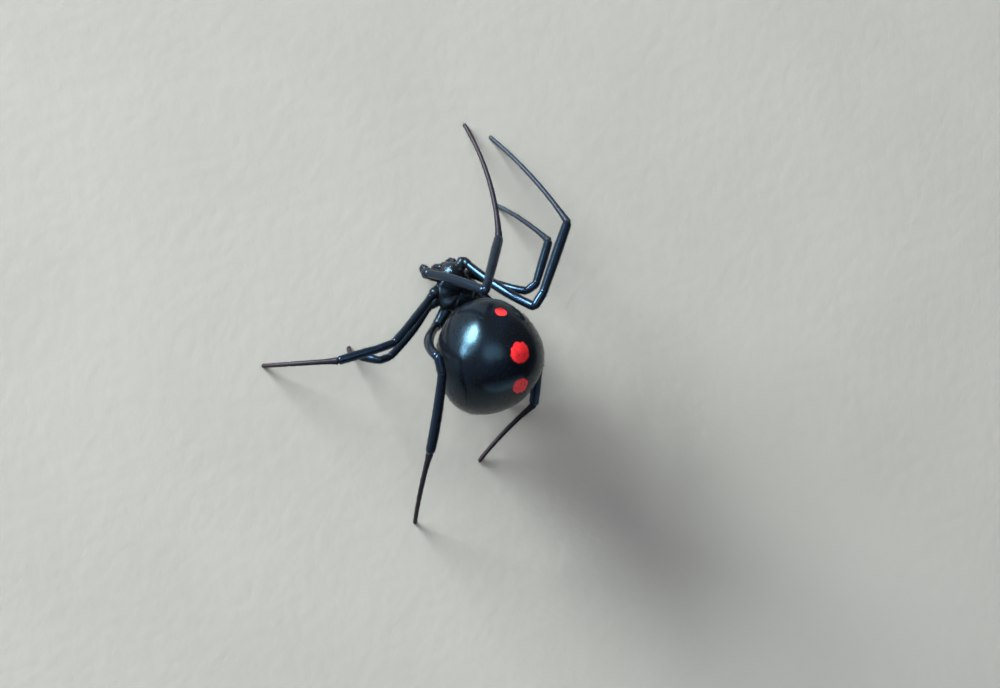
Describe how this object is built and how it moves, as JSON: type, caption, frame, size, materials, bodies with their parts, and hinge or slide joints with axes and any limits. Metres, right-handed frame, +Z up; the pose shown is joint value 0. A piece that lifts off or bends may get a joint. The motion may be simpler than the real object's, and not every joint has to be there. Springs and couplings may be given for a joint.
{
  "type": "life-size model of a female black widow spider",
  "caption": "Still, life-size model of a female black widow spider: glossy black round abdomen with red spots, small head and thorax, and long thin arched legs that stand on their tips",
  "frame": {"origin": "on the floor, at the middle of the footprint of the whole leg spread", "axes": "+Z up, the head towards -Y, the spider's left side towards +X"},
  "size_m": [0.0248, 0.029, 0.0104],
  "materials": {
    "abdomen": "glossy black with red spots along the back and a red hourglass below",
    "cephalothorax": "satin black shell",
    "chelicera_left": "satin black shell with short hairs",
    "chelicera_right": "satin black shell with short hairs",
    "palp_left": "satin black shell with short hairs",
    "palp_right": "satin black shell with short hairs",
    "leg_femur": "glossy black with a bluish sheen and fine hairs",
    "leg_tibia": "glossy black with a bluish sheen and fine hairs",
    "leg_foot": "dark brown-black with fine hairs"
  },
  "bodies": {
    "root": {"abdomen": "abdomen", "cephalothorax": "cephalothorax", "chelicera_left": "chelicera_left", "chelicera_right": "chelicera_right", "palp_left": "palp_left", "palp_right": "palp_right", "leg_left_1_femur": "leg_femur", "leg_left_1_tibia": "leg_tibia", "leg_left_1_foot": "leg_foot", "leg_left_2_femur": "leg_femur", "leg_left_2_tibia": "leg_tibia", "leg_left_2_foot": "leg_foot", "leg_left_3_femur": "leg_femur", "leg_left_3_tibia": "leg_tibia", "leg_left_3_foot": "leg_foot", "leg_left_4_femur": "leg_femur", "leg_left_4_tibia": "leg_tibia", "leg_left_4_foot": "leg_foot", "leg_right_1_femur": "leg_femur", "leg_right_1_tibia": "leg_tibia", "leg_right_1_foot": "leg_foot", "leg_right_2_femur": "leg_femur", "leg_right_2_tibia": "leg_tibia", "leg_right_2_foot": "leg_foot", "leg_right_3_femur": "leg_femur", "leg_right_3_tibia": "leg_tibia", "leg_right_3_foot": "leg_foot", "leg_right_4_femur": "leg_femur", "leg_right_4_tibia": "leg_tibia", "leg_right_4_foot": "leg_foot"}
  },
  "joints": []
}
